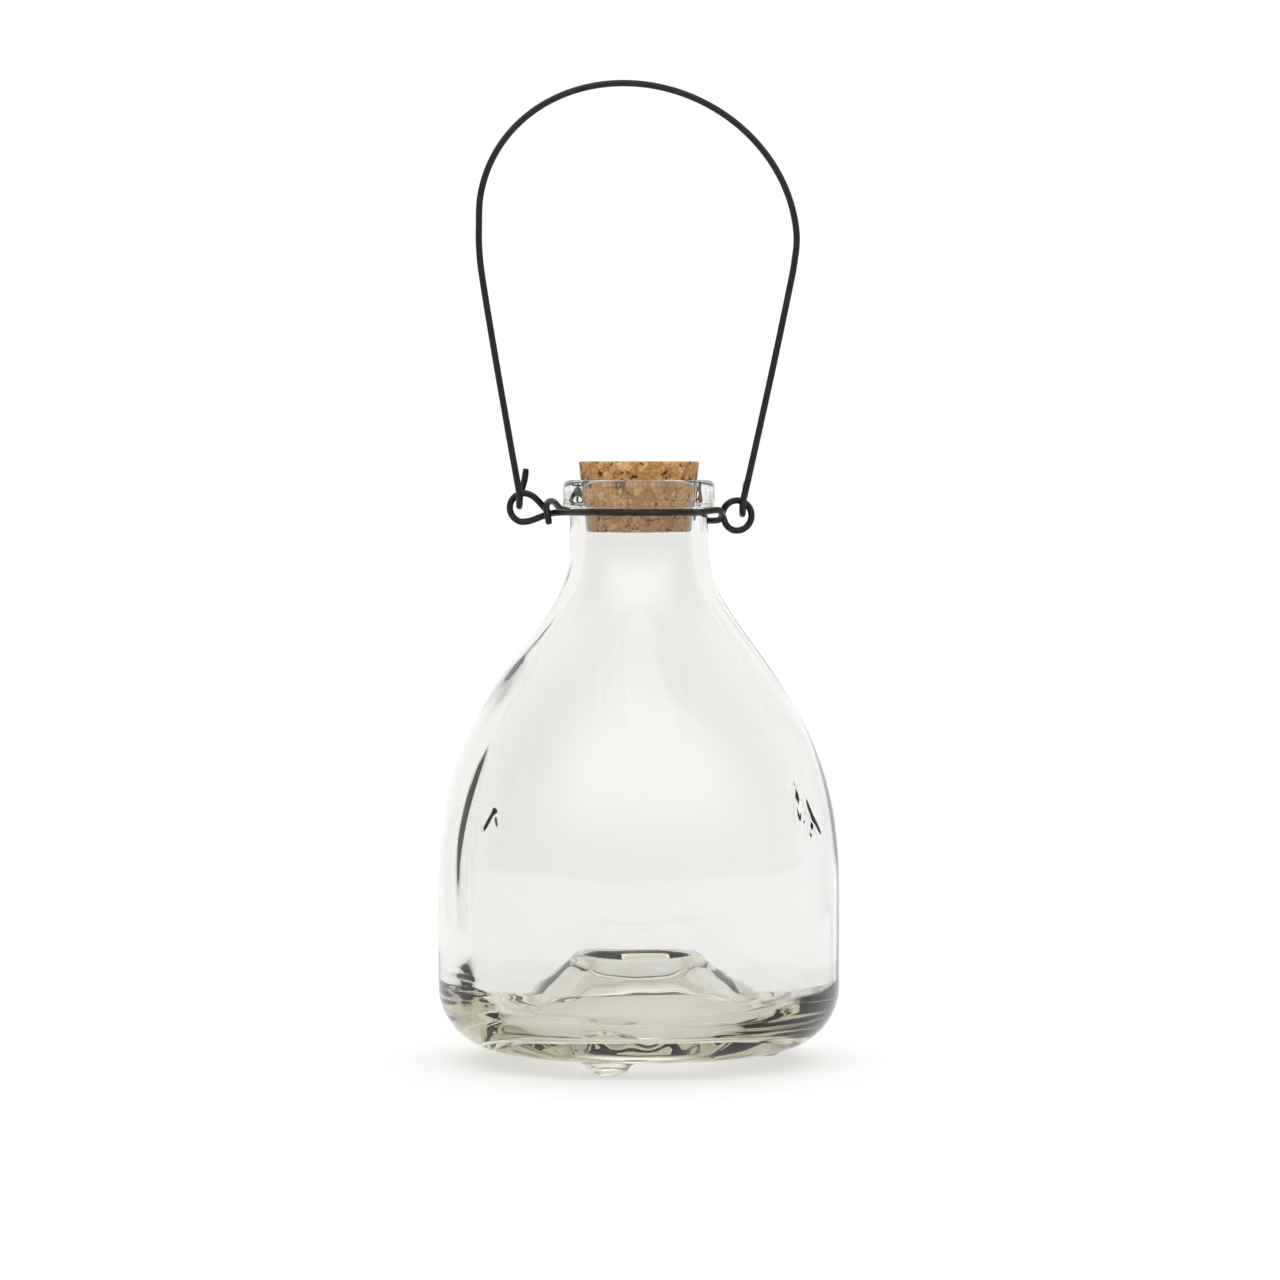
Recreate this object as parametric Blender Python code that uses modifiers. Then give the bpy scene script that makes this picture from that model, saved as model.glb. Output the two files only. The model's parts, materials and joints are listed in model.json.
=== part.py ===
"""Glass wasp trap: bottle with a re-entrant base funnel, cork stopper, neck wire and bail handle.

Metres, +Z up. The origin is on the bottle's axis, level with the undersides of its feet.
"""

import bpy
import bmesh
import numpy as np
from math import atan2, cos, hypot, pi, radians, sin, sqrt, tan
from mathutils import Matrix, Vector

MM = 0.001
CLEARANCE = 0.3 * MM

# Cork stopper
CORK_TOP_RADIUS = 17.4 * MM
CORK_LENGTH = 20.4 * MM
CORK_TAPER = radians(6.1)
CORK_PROUD = 5.3 * MM
CORK_EDGE = 0.5 * MM

# Bottle heights, above the undersides of the feet
FOOT_HEIGHT = 3.9 * MM
BOTTLE_HEIGHT = 168.2 * MM
LIP_HEIGHT = 8.0 * MM
NECK_BELOW_CORK = 4.8 * MM
SHOULDER_START = 52.4 * MM

# How far the shoulder's curve follows the body and the neck, as shares of the shoulder's height
SHOULDER_FULLNESS = 0.5923
NECK_SWEEP = 0.2565

# Bottle section
BODY_RADIUS = 58.2 * MM
BODY_WALL = 3.8 * MM
NECK_WALL = 4.5 * MM
LIP_OVERHANG = 1.9 * MM
LIP_ROUND = 2.0 * MM
LIP_UNDER_ROUND = 1.0 * MM
MOUTH_ROUND = 0.8 * MM
NECK_FILLET = 0.5 * MM
BASE_ROUND = 18.5 * MM
FLOOR_THICKNESS = 9.4 * MM
FLOOR_ROUND = 9.0 * MM

# Funnel that rises through the base
HOLE_RADIUS = 16.0 * MM
FUNNEL_CREST_WIDTH = 2.3 * MM
FUNNEL_CREST_ROUND = 2.4 * MM
FUNNEL_HOLE_ROUND = 1.4 * MM
FUNNEL_HEIGHT = 27.5 * MM
TROUGH_FLOOR_WIDTH = 5.8 * MM
BASE_RING_WIDTH = 5.7 * MM
FUNNEL_THROAT = 7.4 * MM
FUNNEL_ROOT_ROUND = 7.0 * MM
FUNNEL_MOUTH_ROUND = 4.0 * MM
FUNNEL_THROAT_ROUND = 5.0 * MM

# Feet
FOOT_COUNT = 3
FOOT_INSET = 20.2 * MM
FOOT_RADIUS = 7.0 * MM
FOOT_FLAT_RADIUS = 2.0 * MM
FOOT_ROOT = 4.5 * MM
FOOT_BLEND = 1.6 * MM
FIRST_FOOT_ANGLE = radians(-103.0)

# Wires; the eyes, twists and hooks are bent in proportion to the wire
WIRE_RADIUS = 1.0 * MM
RIGHT_EYE_REACH = 7.0 * WIRE_RADIUS
RIGHT_EYE_HALF_WIDTH = 4.2 * WIRE_RADIUS
RIGHT_EYE_HALF_HEIGHT = 4.35 * WIRE_RADIUS
RIGHT_EYE_DROP = 1.0 * WIRE_RADIUS
LEFT_EYE_REACH = 11.85 * WIRE_RADIUS
LEFT_EYE_RADIUS = 4.15 * WIRE_RADIUS
LEFT_EYE_RISE = 1.25 * WIRE_RADIUS
REAR_STRAND_DROP = 2.5 * WIRE_RADIUS
HOOK_RADIUS = 3.6 * WIRE_RADIUS
RIGHT_HOOK_OFFSET = 1.7 * WIRE_RADIUS
LEFT_HOOK_OFFSET = 1.25 * WIRE_RADIUS
RIGHT_HOOK_END = 5.8 * WIRE_RADIUS
LEFT_HOOK_END = 7.4 * WIRE_RADIUS
RIGHT_HOOK_SLANT = 0.9 * WIRE_RADIUS
LEFT_HOOK_SLANT = 1.5 * WIRE_RADIUS

# Bail
BAIL_HEIGHT = 119.3 * MM
BAIL_HALF_WIDTH = 45.8 * MM
BAIL_SHOULDER_HEIGHT = 77.0 * MM
BAIL_SHIFT = 0.8 * MM
BAIL_LEAN = 3.9 * MM
LEG_TOP = 0.79
LEG_TOP_INSET = 1.7 * MM
LEG_BOW = 0.07
BEND_HEIGHT = 0.9
BEND_INSET = 0.4 * MM

TURN_STEPS = 48
CORK_STEPS = 48
SHOULDER_STEPS = 12
FILLET_STEPS = 4
DOME_STEPS = 6
FOOT_STEPS = 24
EYE_STEPS = 12
STRAND_STEPS = 14
HOOK_STEPS = 8
ARCH_STEPS = 16
COLLAR_SPACING = 2.2 * MM
BAIL_SPACING = 4.0 * MM


# ---------------------------------------------------------------- outlines

def arc_points(centre, radius, start, end, steps):
    """Points on a circle from the angle start to the angle end, both included."""
    angles = np.linspace(start, end, steps + 1)
    return [(centre[0] + radius * cos(a), centre[1] + radius * sin(a)) for a in angles]


def bezier_points(p0, p1, p2, p3, steps):
    """Points on a cubic Bezier curve, both ends included."""
    points = []
    for t in np.linspace(0.0, 1.0, steps + 1):
        s = 1.0 - t
        weights = (s ** 3, 3 * s * s * t, 3 * s * t * t, t ** 3)
        points.append(tuple(sum(w * p[i] for w, p in zip(weights, (p0, p1, p2, p3))) for i in (0, 1)))
    return points


def filleted(corner, before, after, radius, steps=FILLET_STEPS):
    """The arc of this radius that rounds a corner, from the side of before to the side of after."""
    corner = Vector(corner)
    to_before = (Vector(before) - corner).normalized()
    to_after = (Vector(after) - corner).normalized()
    half_angle = to_before.angle(to_after) / 2
    reach = radius / tan(half_angle)
    centre = corner + (to_before + to_after).normalized() * (radius / sin(half_angle))
    first = corner + to_before * reach - centre
    last = corner + to_after * reach - centre
    start = atan2(first.y, first.x)
    sweep = (atan2(last.y, last.x) - start + pi) % (2 * pi) - pi
    return arc_points(centre, radius, start, start + sweep, steps)


def rounded_outline(corners):
    """An open outline through corners (x, y, fillet radius), its first and last points kept as they are."""
    points = [corners[0][:2]]
    for before, corner, after in zip(corners, corners[1:], corners[2:]):
        if corner[2] > 0.0:
            points += filleted(corner[:2], before[:2], after[:2], corner[2])
        else:
            points.append(corner[:2])
    points.append(corners[-1][:2])
    return points


def smooth_route(points, spacing):
    """A Catmull-Rom curve through the points, sampled about every spacing."""
    points = [Vector(p) for p in points]
    ends = [2 * points[0] - points[1]] + points + [2 * points[-1] - points[-2]]
    route = []
    for p0, p1, p2, p3 in zip(ends, ends[1:], ends[2:], ends[3:]):
        steps = max(1, round((p2 - p1).length / spacing))
        for i in range(steps):
            t = i / steps
            a = 2 * p1 + (p2 - p0) * t
            b = (2 * p0 - 5 * p1 + 4 * p2 - p3) * t ** 2
            c = (3 * p1 - p0 - 3 * p2 + p3) * t ** 3
            route.append((a + b + c) / 2)
    route.append(points[-1])
    return route


# ---------------------------------------------------------------- objects

def clear_scene():
    for obj in list(bpy.data.objects):
        bpy.data.objects.remove(obj, do_unlink=True)


def new_collection(name):
    collection = bpy.data.collections.new(name)
    bpy.context.scene.collection.children.link(collection)
    return collection


def new_material(name, colour, roughness, metallic=0.0, transmission=0.0):
    material = bpy.data.materials.new(name)
    material.use_nodes = True
    shader = material.node_tree.nodes["Principled BSDF"]
    shader.inputs["Base Color"].default_value = (*colour, 1.0)
    shader.inputs["Roughness"].default_value = roughness
    shader.inputs["Metallic"].default_value = metallic
    shader.inputs["Transmission Weight"].default_value = transmission
    shader.inputs["IOR"].default_value = 1.52
    material.diffuse_color = (*colour, 1.0)
    return material


def turned(name, outline, closed, steps, collection):
    """A solid turned round Z from an outline in the XZ plane that runs down its outer side."""
    mesh = bpy.data.meshes.new(name)
    edges = [(i, i + 1) for i in range(len(outline) - 1)]
    if closed:
        edges.append((len(outline) - 1, 0))
    mesh.from_pydata([(x, 0.0, z) for x, z in outline], edges, [])
    obj = bpy.data.objects.new(name, mesh)
    collection.objects.link(obj)
    screw = obj.modifiers.new("Turn", "SCREW")
    screw.angle = 2 * pi
    screw.steps = steps
    screw.render_steps = steps
    screw.use_merge_vertices = True
    screw.merge_threshold = 0.00001
    screw.use_smooth_shade = True
    return obj


def wire(name, route, collection):
    """A round wire along the route, closed at both ends."""
    curve = bpy.data.curves.new(name, "CURVE")
    curve.dimensions = "3D"
    curve.bevel_depth = WIRE_RADIUS
    curve.bevel_resolution = 2
    curve.use_fill_caps = True
    spline = curve.splines.new("POLY")
    spline.points.add(len(route) - 1)
    for point, place in zip(spline.points, route):
        point.co = (*place, 1.0)
    spline.use_smooth = True
    obj = bpy.data.objects.new(name, curve)
    collection.objects.link(obj)
    return obj


# ---------------------------------------------------------------- sizes that follow from the ones above

cork_bottom_radius = CORK_TOP_RADIUS - CORK_LENGTH * tan(CORK_TAPER)
cork_top = BOTTLE_HEIGHT + CORK_PROUD
cork_bottom = cork_top - CORK_LENGTH
neck_bore = cork_bottom_radius + CLEARANCE
mouth_bore = CORK_TOP_RADIUS - CORK_PROUD * tan(CORK_TAPER) + CLEARANCE
neck_radius = neck_bore + NECK_WALL
lip_radius = neck_radius + LIP_OVERHANG
lip_bottom = BOTTLE_HEIGHT - LIP_HEIGHT
neck_end = cork_bottom - NECK_BELOW_CORK
fullness = (neck_end - SHOULDER_START) * SHOULDER_FULLNESS
neck_sweep = (neck_end - SHOULDER_START) * NECK_SWEEP
inner_radius = BODY_RADIUS - BODY_WALL
floor_top = FOOT_HEIGHT + FLOOR_THICKNESS
crest_top = FOOT_HEIGHT + FUNNEL_HEIGHT
crest_radius = HOLE_RADIUS + FUNNEL_CREST_WIDTH
funnel_root_radius = inner_radius - FLOOR_ROUND - TROUGH_FLOOR_WIDTH
funnel_mouth_radius = BODY_RADIUS - BASE_ROUND - BASE_RING_WIDTH
foot_circle = BODY_RADIUS - FOOT_INSET
collar_radius = neck_radius + CLEARANCE + WIRE_RADIUS
collar_height = lip_bottom - CLEARANCE - WIRE_RADIUS
right_eye = Vector((collar_radius + RIGHT_EYE_REACH, 0.0, collar_height - RIGHT_EYE_DROP))
left_eye = Vector((-collar_radius - LEFT_EYE_REACH, 0.0, collar_height + LEFT_EYE_RISE))


def eye_top(centre, half_width, half_height, offset):
    """Where the upper strand of an eye passes, at this offset from the eye's centre."""
    rise = half_height * sqrt(1.0 - (offset / half_width) ** 2)
    return centre + Vector((offset, 0.0, rise))


right_hinge = eye_top(right_eye, RIGHT_EYE_HALF_WIDTH, RIGHT_EYE_HALF_HEIGHT, RIGHT_HOOK_OFFSET)
left_hinge = eye_top(left_eye, LEFT_EYE_RADIUS, LEFT_EYE_RADIUS, -LEFT_HOOK_OFFSET)
hinge_centre = (right_hinge + left_hinge) / 2
hinge_tilt = atan2(left_hinge.z - right_hinge.z, right_hinge.x - left_hinge.x)
hinge_half_span = hypot(right_hinge.x - left_hinge.x, left_hinge.z - right_hinge.z) / 2


# ---------------------------------------------------------------- glass bottle

def bottle_outline():
    """The closed section of the glass, down the outside, under the base, through the funnel and up the inside."""
    lip = rounded_outline([
        (mouth_bore, BOTTLE_HEIGHT - MOUTH_ROUND, 0.0),
        (mouth_bore, BOTTLE_HEIGHT, MOUTH_ROUND * 0.98),
        (lip_radius, BOTTLE_HEIGHT, LIP_ROUND),
        (lip_radius, lip_bottom, LIP_UNDER_ROUND),
        (neck_radius, lip_bottom, NECK_FILLET),
        (neck_radius, (lip_bottom + neck_end) / 2, 0.0),
    ])
    outer_shoulder = bezier_points(
        (neck_radius, neck_end),
        (neck_radius, neck_end - neck_sweep),
        (BODY_RADIUS, SHOULDER_START + fullness),
        (BODY_RADIUS, SHOULDER_START),
        SHOULDER_STEPS,
    )
    base = rounded_outline([
        (BODY_RADIUS, (SHOULDER_START + FOOT_HEIGHT + BASE_ROUND) / 2, 0.0),
        (BODY_RADIUS, FOOT_HEIGHT, BASE_ROUND),
        (funnel_mouth_radius, FOOT_HEIGHT, FUNNEL_MOUTH_ROUND),
        (HOLE_RADIUS, crest_top - FUNNEL_THROAT, FUNNEL_THROAT_ROUND),
        (HOLE_RADIUS, crest_top, FUNNEL_HOLE_ROUND),
        (crest_radius, crest_top, FUNNEL_CREST_ROUND),
        (funnel_root_radius, floor_top, FUNNEL_ROOT_ROUND),
        (inner_radius, floor_top, FLOOR_ROUND),
        (inner_radius, (SHOULDER_START + floor_top + FLOOR_ROUND) / 2, 0.0),
    ])
    inner_shoulder = bezier_points(
        (inner_radius, SHOULDER_START),
        (inner_radius, SHOULDER_START + fullness - BODY_WALL / 2),
        (neck_bore, neck_end - neck_sweep),
        (neck_bore, neck_end),
        SHOULDER_STEPS,
    )
    return lip + outer_shoulder + base + inner_shoulder + [(neck_bore, cork_bottom)]


def foot_outline():
    """A domed foot with a small flat underneath; its top is buried in the base glass."""
    top = FOOT_HEIGHT + FOOT_ROOT
    outline = [(0.0, top), (FOOT_RADIUS, top)]
    for angle in np.radians(np.linspace(90, 0, DOME_STEPS + 1)):
        outline.append((
            FOOT_FLAT_RADIUS + (FOOT_RADIUS - FOOT_FLAT_RADIUS) * sin(angle),
            (FOOT_HEIGHT + FOOT_BLEND) * (1 - cos(angle)),
        ))
    return outline + [(0.0, 0.0)]


def make_bottle(collection, cutters):
    bottle = turned("glass_bottle", bottle_outline(), True, TURN_STEPS, collection)
    for i in range(FOOT_COUNT):
        foot = turned(f"foot_{i + 1}", foot_outline(), False, FOOT_STEPS, cutters)
        foot.hide_render = True
        foot.display_type = "WIRE"
        angle = FIRST_FOOT_ANGLE + i * 2 * pi / FOOT_COUNT
        foot.location = (foot_circle * cos(angle), foot_circle * sin(angle), 0.0)
        join = bottle.modifiers.new(f"Foot {i + 1}", "BOOLEAN")
        join.operation = "UNION"
        join.solver = "EXACT"
        join.object = foot
    bottle.data.materials.append(new_material("clear_glass", (0.93, 0.94, 0.91), 0.03, transmission=1.0))
    return bottle


# ---------------------------------------------------------------- cork

def make_cork(collection):
    mesh = bpy.data.meshes.new("cork_stopper")
    shape = bmesh.new()
    bmesh.ops.create_cone(
        shape,
        cap_ends=True,
        segments=CORK_STEPS,
        radius1=cork_bottom_radius,
        radius2=CORK_TOP_RADIUS,
        depth=CORK_LENGTH,
    )
    bmesh.ops.rotate(shape, verts=shape.verts, matrix=Matrix.Rotation(pi / CORK_STEPS, 3, "Z"))
    for face in shape.faces:
        face.smooth = True
    shape.to_mesh(mesh)
    shape.free()
    cork = bpy.data.objects.new("cork_stopper", mesh)
    collection.objects.link(cork)
    cork.location = (0.0, 0.0, (cork_top + cork_bottom) / 2)
    edge = cork.modifiers.new("Edge", "BEVEL")
    edge.width = CORK_EDGE
    edge.segments = 2
    edge.limit_method = "ANGLE"
    edge.angle_limit = radians(40)
    mesh.materials.append(new_material("cork", (0.42, 0.21, 0.08), 0.85))
    return cork


# ---------------------------------------------------------------- neck wire

def collar_arc(start, end, start_height, end_height):
    """Points round the neck at the wire's own radius, between two angles in degrees."""
    points = []
    for share in np.linspace(0.0, 1.0, STRAND_STEPS + 1):
        angle = radians(start + (end - start) * share)
        height = start_height + (end_height - start_height) * share
        points.append(Vector((collar_radius * cos(angle), collar_radius * sin(angle), height)))
    return points


def eye_arc(centre, half_width, half_height, start, end, steps):
    """Points on an upright eye, between two angles in degrees."""
    angles = np.radians(np.linspace(start, end, steps + 1))
    return [centre + Vector((half_width * cos(a), 0.0, half_height * sin(a))) for a in angles]


def near(centre, x, y, z):
    """A point of a twist, given in wire radii from the centre of its eye."""
    return centre + Vector((x, y, z)) * WIRE_RADIUS


def collar_route():
    """One wire: left eye, front strand, right eye, rear strand, and a tail hooked over the left root."""
    low = collar_height - REAR_STRAND_DROP
    return (
        [
            near(left_eye, 7.2, 2.3, -1.9),
            near(left_eye, 6.5, 2.0, -0.9),
            near(left_eye, 5.0, 1.2, 0.9),
            near(left_eye, 2.7, 0.4, 3.2),
        ]
        + eye_arc(left_eye, LEFT_EYE_RADIUS, LEFT_EYE_RADIUS, 80, 260, EYE_STEPS - 2)
        + [
            near(left_eye, 1.9, -0.3, -3.75),
            near(left_eye, 4.9, -1.3, -2.6),
            near(left_eye, 8.1, -3.1, -1.6),
            near(left_eye, 11.4, -6.8, -1.3),
        ]
        + collar_arc(215, 325, collar_height, collar_height)
        + [
            near(right_eye, -5.5, -6.8, 1.6),
            near(right_eye, -4.3, -2.3, 0.1),
            near(right_eye, -3.1, -0.9, -2.7),
        ]
        + eye_arc(right_eye, RIGHT_EYE_HALF_WIDTH, RIGHT_EYE_HALF_HEIGHT, 250, 500, EYE_STEPS)
        + [
            near(right_eye, -4.0, 0.8, 1.2),
            near(right_eye, -4.5, 2.3, -0.7),
            near(right_eye, -6.0, 5.0, -1.5),
        ]
        + collar_arc(30, 146, low, collar_height)
        + [
            near(left_eye, 10.8, 8.0, -0.5),
            near(left_eye, 8.7, 3.4, 1.5),
            near(left_eye, 7.3, -0.7, 1.8),
            near(left_eye, 6.5, -4.2, 0.5),
            near(left_eye, 6.9, -5.3, -2.2),
            near(left_eye, 7.3, -5.1, -4.7),
        ]
    )


def make_collar(collection):
    collar = wire("neck_wire", smooth_route(collar_route(), COLLAR_SPACING), collection)
    collar.data.materials.append(new_material("black_wire", (0.012, 0.012, 0.012), 0.42))
    return collar


# ---------------------------------------------------------------- bail

def bail_side(side, hook_end, slant):
    """One end of the bail from its hook's tip to the shoulder, in the hinge's own axes."""
    hook = side * hinge_half_span

    def leg(x, height):
        return Vector((x, -HOOK_RADIUS * (1 - height / BAIL_HEIGHT), height))

    tip = [
        Vector((hook + slant, HOOK_RADIUS, hook_end)),
        Vector((hook + slant * 0.7, HOOK_RADIUS, hook_end * 0.5)),
    ]
    bend = []
    for angle in np.radians(np.linspace(0, 180, HOOK_STEPS + 1)):
        bend.append(Vector((hook, HOOK_RADIUS * cos(angle), -HOOK_RADIUS * sin(angle))))
    shoulder = bail_arch(0.0 if side > 0 else pi)
    leg_top = BAIL_SHOULDER_HEIGHT * LEG_TOP
    top_x = shoulder.x - side * LEG_TOP_INSET
    rise = []
    for share in (0.05, 0.12, 0.3, 0.65, 1.0):
        bowed = (1 - LEG_BOW) * share + LEG_BOW * sin(share * pi / 2)
        rise.append(leg(hook + (top_x - hook) * bowed, leg_top * share))
    return tip + bend + rise + [leg(shoulder.x - side * BEND_INSET, BAIL_SHOULDER_HEIGHT * BEND_HEIGHT)]


def bail_arch(angle):
    height = BAIL_SHOULDER_HEIGHT + (BAIL_HEIGHT - BAIL_SHOULDER_HEIGHT) * sin(angle)
    x = BAIL_HALF_WIDTH * cos(angle) - BAIL_LEAN * sin(angle) - BAIL_SHIFT
    return Vector((x, -HOOK_RADIUS * (1 - height / BAIL_HEIGHT), height))


def bail_route():
    right = bail_side(1, RIGHT_HOOK_END, RIGHT_HOOK_SLANT)
    left = bail_side(-1, LEFT_HOOK_END, LEFT_HOOK_SLANT)
    arch = [bail_arch(a) for a in np.linspace(0, pi, ARCH_STEPS + 1)]
    return right + arch + left[::-1]


def make_bail(collection):
    """The bail's origin is midway along its hinge axis, and its X axis lies along the hinge."""
    bail = wire("bail_wire", smooth_route(bail_route(), BAIL_SPACING), collection)
    bail.location = hinge_centre
    bail.rotation_euler = (0.0, hinge_tilt, 0.0)
    bail.data.materials.append(bpy.data.materials["black_wire"])
    return bail


def main():
    clear_scene()
    parts = new_collection("wasp_trap")
    cutters = new_collection("cutters")
    make_bottle(parts, cutters)
    make_cork(parts)
    make_collar(parts)
    make_bail(parts)


main()
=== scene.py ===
"""Looks for the glass wasp trap: fine glass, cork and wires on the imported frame, floor, light and camera.

Metres, +Z up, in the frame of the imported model.
"""

import json
from math import atan2, cos, hypot, pi, radians, sin, sqrt, tan

import bpy
import numpy as np
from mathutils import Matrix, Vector


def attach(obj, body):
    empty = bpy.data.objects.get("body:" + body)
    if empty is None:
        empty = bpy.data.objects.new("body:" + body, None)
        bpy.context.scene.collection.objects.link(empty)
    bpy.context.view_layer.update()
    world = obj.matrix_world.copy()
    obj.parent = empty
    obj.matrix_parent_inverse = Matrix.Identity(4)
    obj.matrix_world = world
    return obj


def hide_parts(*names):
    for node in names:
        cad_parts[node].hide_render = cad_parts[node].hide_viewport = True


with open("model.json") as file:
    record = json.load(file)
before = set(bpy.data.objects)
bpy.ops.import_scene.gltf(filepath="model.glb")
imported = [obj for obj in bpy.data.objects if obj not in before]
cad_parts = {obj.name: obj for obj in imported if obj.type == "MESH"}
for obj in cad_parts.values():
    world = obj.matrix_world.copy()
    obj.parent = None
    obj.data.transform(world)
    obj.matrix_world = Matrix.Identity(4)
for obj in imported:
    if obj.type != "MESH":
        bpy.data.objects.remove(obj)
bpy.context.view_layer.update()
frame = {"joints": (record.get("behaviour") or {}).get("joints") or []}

MM = 0.001

# Sizes repeated from the part
CLEARANCE = 0.3 * MM
CORK_TOP_RADIUS = 17.4 * MM
CORK_LENGTH = 20.4 * MM
CORK_TAPER = radians(6.1)
CORK_PROUD = 5.3 * MM
FOOT_HEIGHT = 3.9 * MM
BOTTLE_HEIGHT = 168.2 * MM
LIP_HEIGHT = 8.0 * MM
NECK_BELOW_CORK = 4.8 * MM
SHOULDER_START = 52.4 * MM
BODY_RADIUS = 58.2 * MM
BODY_WALL = 3.8 * MM
NECK_WALL = 4.5 * MM
LIP_OVERHANG = 1.9 * MM
LIP_ROUND = 2.0 * MM
LIP_UNDER_ROUND = 1.0 * MM
MOUTH_ROUND = 0.8 * MM
NECK_FILLET = 0.5 * MM
SHOULDER_FULLNESS = 0.5923
NECK_SWEEP = 0.2565
BASE_ROUND = 18.5 * MM
FLOOR_THICKNESS = 9.4 * MM
FLOOR_ROUND = 9.0 * MM
HOLE_RADIUS = 16.0 * MM
FUNNEL_CREST_WIDTH = 2.3 * MM
FUNNEL_CREST_ROUND = 2.4 * MM
FUNNEL_HOLE_ROUND = 1.4 * MM
FUNNEL_HEIGHT = 27.5 * MM
TROUGH_FLOOR_WIDTH = 5.8 * MM
BASE_RING_WIDTH = 5.7 * MM
FUNNEL_THROAT = 7.4 * MM
FUNNEL_ROOT_ROUND = 7.0 * MM
FUNNEL_MOUTH_ROUND = 4.0 * MM
FUNNEL_THROAT_ROUND = 5.0 * MM
FOOT_COUNT = 3
FOOT_INSET = 20.2 * MM
FOOT_RADIUS = 7.0 * MM
FOOT_FLAT_RADIUS = 2.0 * MM
FOOT_BLEND = 1.6 * MM
FIRST_FOOT_ANGLE = radians(-103.0)
WIRE_RADIUS = 1.0 * MM
RIGHT_EYE_REACH = 7.0 * WIRE_RADIUS
RIGHT_EYE_HALF_WIDTH = 4.2 * WIRE_RADIUS
RIGHT_EYE_HALF_HEIGHT = 4.35 * WIRE_RADIUS
RIGHT_EYE_DROP = 1.0 * WIRE_RADIUS
LEFT_EYE_REACH = 11.85 * WIRE_RADIUS
LEFT_EYE_RADIUS = 4.15 * WIRE_RADIUS
LEFT_EYE_RISE = 1.25 * WIRE_RADIUS
REAR_STRAND_DROP = 2.5 * WIRE_RADIUS
HOOK_RADIUS = 3.6 * WIRE_RADIUS
RIGHT_HOOK_END = 5.8 * WIRE_RADIUS
LEFT_HOOK_END = 7.4 * WIRE_RADIUS
RIGHT_HOOK_OFFSET = 1.7 * WIRE_RADIUS
LEFT_HOOK_OFFSET = 1.25 * WIRE_RADIUS
RIGHT_HOOK_SLANT = 0.9 * WIRE_RADIUS
LEFT_HOOK_SLANT = 1.5 * WIRE_RADIUS
BAIL_HEIGHT = 119.3 * MM
BAIL_HALF_WIDTH = 45.8 * MM
BAIL_SHOULDER_HEIGHT = 77.0 * MM
BAIL_SHIFT = 0.8 * MM
BAIL_LEAN = 3.9 * MM
LEG_TOP = 0.79
LEG_TOP_INSET = 1.7 * MM
LEG_BOW = 0.07
BEND_HEIGHT = 0.9
BEND_INSET = 0.4 * MM

# What hand-made glass adds to the part's plain shape
CORNER_FULLNESS = 1.3
CREASE_LOW = 64 * MM
CREASE_HIGH = 86 * MM
SWAY_DEPTH = 0.22 * MM
STREAK_DEPTH = 0.30 * MM
BAND_DEPTH = 0.10 * MM
FOLD_DEPTH = 0.72 * MM
FOLD_ANGLE = 200
FOLD_WIDTH = radians(6.2)
RIPPLE_DEPTH = 0.04 * MM
HEEL_RIPPLE_SET_BACK = 0.09 * MM
FLOOR_WAVE_DEPTH = 0.14 * MM
FOOT_OF_WALL = 0.5 * MM
LEFT_FOOT_OF_WALL = 0.9 * MM
LEFT_SIDE = radians(196)
INNER_LEAN = 1.9 * MM
FUNNEL_SHIFT = 1.2 * MM

# Mesh spacing
SECTION_STEP = 1.6 * MM
CREASE_STEP = 0.36 * MM
ANGLE_STEP = 2.0
FINE_ANGLE_STEP = 0.36
FINE_ANGLES = ((-41, -23), (218, 228.5))

# Drawn wire is a hair thinner, so that the bail's top stays inside the part's own box
WIRE_SET_BACK = 0.04 * MM

# The camera, level with the lip
CAMERA_DISTANCE = 1.375
CAMERA_SIDE = 0.3 * MM
AIM_HEIGHT = 121.9 * MM
LENS = 133.8


# ---------------------------------------------------------------- outlines and routes

def arc_points(centre, radius, start, end, steps):
    """Points on a circle from the angle start to the angle end, both included."""
    angles = np.linspace(start, end, steps + 1)
    return [(centre[0] + radius * cos(a), centre[1] + radius * sin(a)) for a in angles]


def bezier_points(p0, p1, p2, p3, steps):
    """Points on a cubic Bezier curve, both ends included."""
    points = []
    for t in np.linspace(0.0, 1.0, steps + 1):
        s = 1.0 - t
        weights = (s ** 3, 3 * s * s * t, 3 * s * t * t, t ** 3)
        points.append(tuple(sum(w * p[i] for w, p in zip(weights, (p0, p1, p2, p3))) for i in (0, 1)))
    return points


def filleted(corner, before, after, radius, spacing):
    """The arc of this radius that rounds a corner, from the side of before to the side of after."""
    corner = Vector(corner)
    to_before = (Vector(before) - corner).normalized()
    to_after = (Vector(after) - corner).normalized()
    half_angle = to_before.angle(to_after) / 2
    reach = radius / tan(half_angle)
    centre = corner + (to_before + to_after).normalized() * (radius / sin(half_angle))
    first = corner + to_before * reach - centre
    last = corner + to_after * reach - centre
    start = atan2(first.y, first.x)
    sweep = (atan2(last.y, last.x) - start + pi) % (2 * pi) - pi
    steps = max(6, round(abs(sweep) * radius / spacing))
    return arc_points(centre, radius, start, start + sweep, steps)


def rounded_outline(corners, spacing=1.0 * MM):
    """An open outline through corners (x, y, fillet radius), its first and last points kept as they are."""
    points = [corners[0][:2]]
    for before, corner, after in zip(corners, corners[1:], corners[2:]):
        if corner[2] > 0.0:
            points += filleted(corner[:2], before[:2], after[:2], corner[2], spacing)
        else:
            points.append(corner[:2])
    points.append(corners[-1][:2])
    return points


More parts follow.
